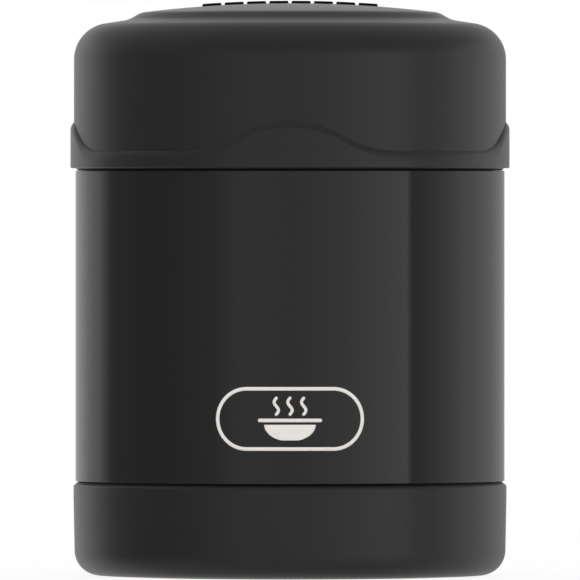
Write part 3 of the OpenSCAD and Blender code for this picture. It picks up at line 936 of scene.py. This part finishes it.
class FOODJAR_OT_fittings(bpy.types.Operator):
    """Gives the fittings inside the walls and the lid their finishes"""

    bl_idname = "food_jar.fittings"
    bl_label = "Hidden fittings"

    def execute(self, context):
        f = context.scene.food_jar_finish
        finishes = dict.fromkeys(("outer_base_plate", "seal_cover", "getter_strap"), bare_steel(f))
        # The others have cells of two colours. After these come the cells' size in mm, the
        # roughness in and between them, their relief in mm, and how metallic they are.
        for node, name, colours, size, roughness, rise, metallic in (
            # Polystyrene beads, expanded in the lid: 2.5 mm cells with darker creases.
            ("lid_foam", "expanded_foam", (f.foam, linear("#cfcdc4")), 2.5, (0.7, 0.9), 0.2, 0.0),
            # Aluminium foil, rolled and wrapped by hand: crumpled about every 6 mm.
            ("radiation_foil", "crumpled_aluminium_foil", (f.foil, linear("#b4b6b9")),
             6.0, (0.15, 0.35), 0.1, 1.0),
            # Barium alloy powder, pressed and sintered: a grain of 0.3 mm.
            ("getter_pellet", "sintered_getter", (linear("#5a5a5c"), linear("#3c3c40")),
             0.3, (0.6, 0.85), 0.05, 0.0),
            # Solder glass, melted over the vent: smooth, with bubbles about 0.6 mm across.
            ("seal_bead", "solder_glass", (linear("#6b7f86"), linear("#50646c")),
             0.6, (0.08, 0.2), 0.01, 0.0),
            # Hot-melt adhesive, pressed out between boot and plate: dull and lumpy.
            ("boot_bond_ring", "hot_melt_adhesive", (linear("#8a8a86"), linear("#77776f")),
             3.0, (0.45, 0.6), 0.1, 0.0),
        ):
            finishes[node] = speckled(name, colours, size * MM, roughness, rise * MM, metallic)
        for node, finish in finishes.items():
            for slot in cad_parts[node].material_slots:
                slot.material = finish
        return {"FINISHED"}


# -------------------- stage


class FOODJAR_OT_studio(bpy.types.Operator):
    """Sets up the pale floor, the soft studio light around the jar and the camera"""

    bl_idname = "food_jar.studio"
    bl_label = "Studio"

    # What the jar mirrors at its own height: degrees from the front, to the right, and
    # brightness. A pale backdrop is behind it, a large softbox stands in front to the right,
    # and dark cards stand to both sides.
    AROUND = [
        (-180, 0.77), (-168, 0.6), (-150, 0.74), (-124, 0.68), (-112, 0.22), (-75, 0.23),
        (-42, 0.38), (-28, 0.59), (4, 0.56), (28, 0.71), (66.1, 1.12), (68.4, 0.35),
        (106, 0.79), (128, 0.72), (168, 0.44), (180, 0.77),
    ]

    def execute(self, context):
        stage = context.scene.food_jar_stage
        self.floor(context, stage)
        self.light(context, stage)
        self.camera(context, stage)
        context.scene.view_settings.view_transform = "Standard"
        return {"FINISHED"}

    def floor(self, context, stage):
        """Lays a pale board under the jar."""
        shape = bmesh.new()
        bmesh.ops.create_grid(shape, x_segments=8, y_segments=8, size=0.6)
        mesh = bpy.data.meshes.new("floor")
        shape.to_mesh(mesh)
        shape.free()
        finish, tree, place = started("painted_floor", stage.floor)
        # Matt emulsion on a smooth board: a roller leaves a faint stipple about 2 mm across.
        stipple = add(tree, "ShaderNodeTexNoise", {"Vector": place, "Scale": 1 / (2 * MM)})
        bump = add(tree, "ShaderNodeBump", {
            "Height": stipple.outputs["Fac"], "Strength": 0.05, "Distance": 0.05 * MM,
        })
        paint = add(tree, "ShaderNodeBsdfPrincipled", {
            "Base Color": rgba(stage.floor), "Roughness": 0.9, "Specular IOR Level": 0.0,
            "Normal": bump.outputs["Normal"],
        })
        # The floor goes white where it is seen directly, and keeps part of the jar's shadow.
        ray = add(tree, "ShaderNodeLightPath")
        seen = add(tree, "ShaderNodeMath", {
            0: ray.outputs["Is Camera Ray"], 1: stage.whitening,
        }, operation="MULTIPLY")
        white = add(tree, "ShaderNodeEmission", {"Color": (1, 1, 1, 1), "Strength": 1.0})
        both = add(tree, "ShaderNodeMixShader", {
            0: seen.outputs[0], 1: paint.outputs[0], 2: white.outputs[0],
        })
        # The studio that the jar mirrors is in the world, its floor too, so this one lets
        # mirrored rays through.
        clear = add(tree, "ShaderNodeBsdfTransparent")
        whole = add(tree, "ShaderNodeMixShader", {
            0: ray.outputs["Is Glossy Ray"], 1: both.outputs[0], 2: clear.outputs[0],
        })
        add(tree, "ShaderNodeOutputMaterial", {"Surface": whole.outputs[0]})
        mesh.materials.append(finish)
        floor = bpy.data.objects.new("floor", mesh)
        # A hair below the foot ring, so that the two faces don't coincide.
        floor.location.z = -0.02 * MM
        context.scene.collection.objects.link(floor)

    def light(self, context, stage):
        """Makes the even light, and the studio that shiny surfaces mirror."""
        world = bpy.data.worlds.new("studio")
        context.scene.world = world
        world.use_nodes = True
        tree = world.node_tree
        tree.nodes.clear()
        towards = add(tree, "ShaderNodeTexCoord").outputs["Generated"]
        parts = add(tree, "ShaderNodeSeparateXYZ", {0: towards})
        forward = add(tree, "ShaderNodeMath", {0: parts.outputs["Y"], 1: -1.0}, operation="MULTIPLY")
        turn = add(tree, "ShaderNodeMath", {
            0: parts.outputs["X"], 1: forward.outputs[0],
        }, operation="ARCTAN2")
        share = add(tree, "ShaderNodeMapRange", {
            "Value": turn.outputs[0], "From Min": -math.pi, "From Max": math.pi,
        })
        around = add(tree, "ShaderNodeValToRGB", {"Fac": share.outputs["Result"]})
        stops = around.color_ramp.elements
        stops.remove(stops[-1])
        for i, (degrees, level) in enumerate(self.AROUND):
            place = (degrees + 180) / 360
            stop = stops.new(place) if i else stops[0]
            stop.position = place
            stop.color = (level, level, level, 1.0)
        # The studio goes over into its ceiling and its floor between these heights of a
        # mirrored direction: 0 is level, 1 straight up and -1 straight down.
        height = parts.outputs["Z"]
        up = add(tree, "ShaderNodeMapRange", {
            "Value": height, "From Min": 0.25, "From Max": 0.44,
        }, interpolation_type="SMOOTHSTEP")
        down = add(tree, "ShaderNodeMapRange", {
            "Value": height, "From Min": -0.2, "From Max": -0.7,
        }, interpolation_type="SMOOTHSTEP")
        ceiling = add(tree, "ShaderNodeMapRange", {
            "Value": height, "From Min": 0.55, "From Max": 1.0,
            "To Min": stage.slanting, "To Max": stage.overhead,
        })
        above = add(tree, "ShaderNodeMix", {
            0: up.outputs["Result"], 6: around.outputs["Color"], 7: ceiling.outputs["Result"],
        }, data_type="RGBA")
        mirrored = add(tree, "ShaderNodeMix", {
            0: down.outputs["Result"], 6: above.outputs[2], 7: rgba([stage.underfoot] * 3),
        }, data_type="RGBA")
        # The light itself is an even white, like a tent's. Only what shines mirrors the studio.
        ray = add(tree, "ShaderNodeLightPath")
        shown = add(tree, "ShaderNodeMix", {
            0: ray.outputs["Is Glossy Ray"], 6: (1.0, 1.0, 1.0, 1.0), 7: mirrored.outputs[2],
        }, data_type="RGBA")
        lit = add(tree, "ShaderNodeBackground", {"Color": shown.outputs[2], "Strength": 1.0})
        add(tree, "ShaderNodeOutputWorld", {"Surface": lit.outputs[0]})

    def camera(self, context, stage):
        """Sets up the camera in front of the jar."""
        lens = bpy.data.cameras.new("camera")
        lens.lens = stage.lens
        lens.sensor_width = 36
        lens.clip_start = 0.1
        lens.clip_end = 60
        camera = bpy.data.objects.new("camera", lens)
        context.scene.collection.objects.link(camera)
        camera.location = (0, -stage.distance, stage.eye)
        aim = Vector((0, stage.distance, stage.aim - stage.eye))
        camera.rotation_mode = "QUATERNION"
        camera.rotation_quaternion = aim.to_track_quat("-Z", "Y")
        context.scene.camera = camera


# -------------------- add-on


class FOODJAR_PT_sidebar(bpy.types.Panel):
    """Lists the jar's pieces, sizes and finishes"""

    bl_idname = "FOODJAR_PT_sidebar"
    bl_label = "Food jar"
    bl_space_type = "VIEW_3D"
    bl_region_type = "UI"
    bl_category = "Food jar"

    def draw(self, context):
        layout = self.layout
        for operator in OPERATORS:
            layout.operator(operator.bl_idname)
        for group in GROUPS:
            settings = getattr(context.scene, group)
            box = layout.box()
            for name in settings.__annotations__:
                box.prop(settings, name)


OPERATORS = (
    FOODJAR_OT_studio,
    FOODJAR_OT_lid_shell,
    FOODJAR_OT_grip_band,
    FOODJAR_OT_inner_cap,
    FOODJAR_OT_gasket,
    FOODJAR_OT_steel_body,
    FOODJAR_OT_vessel,
    FOODJAR_OT_boot,
    FOODJAR_OT_body_print,
    FOODJAR_OT_fittings,
)
GROUPS = {
    "food_jar_sizes": FoodJarSizes,
    "food_jar_finish": FoodJarFinish,
    "food_jar_stage": FoodJarStage,
}
CLASSES = (*GROUPS.values(), *OPERATORS, FOODJAR_PT_sidebar)


def register():
    for made in CLASSES:
        bpy.utils.register_class(made)
    for name, group in GROUPS.items():
        setattr(bpy.types.Scene, name, PointerProperty(type=group))


def unregister():
    for name in GROUPS:
        delattr(bpy.types.Scene, name)
    for made in reversed(CLASSES):
        bpy.utils.unregister_class(made)


def main():
    register()
    bpy.ops.food_jar.studio()
    bpy.ops.food_jar.lid_shell()
    bpy.ops.food_jar.grip_band()
    bpy.ops.food_jar.inner_cap()
    bpy.ops.food_jar.gasket()
    bpy.ops.food_jar.steel_body()
    bpy.ops.food_jar.vessel()
    bpy.ops.food_jar.boot()
    bpy.ops.food_jar.body_print()
    bpy.ops.food_jar.fittings()


if __name__ == "__main__":
    main()
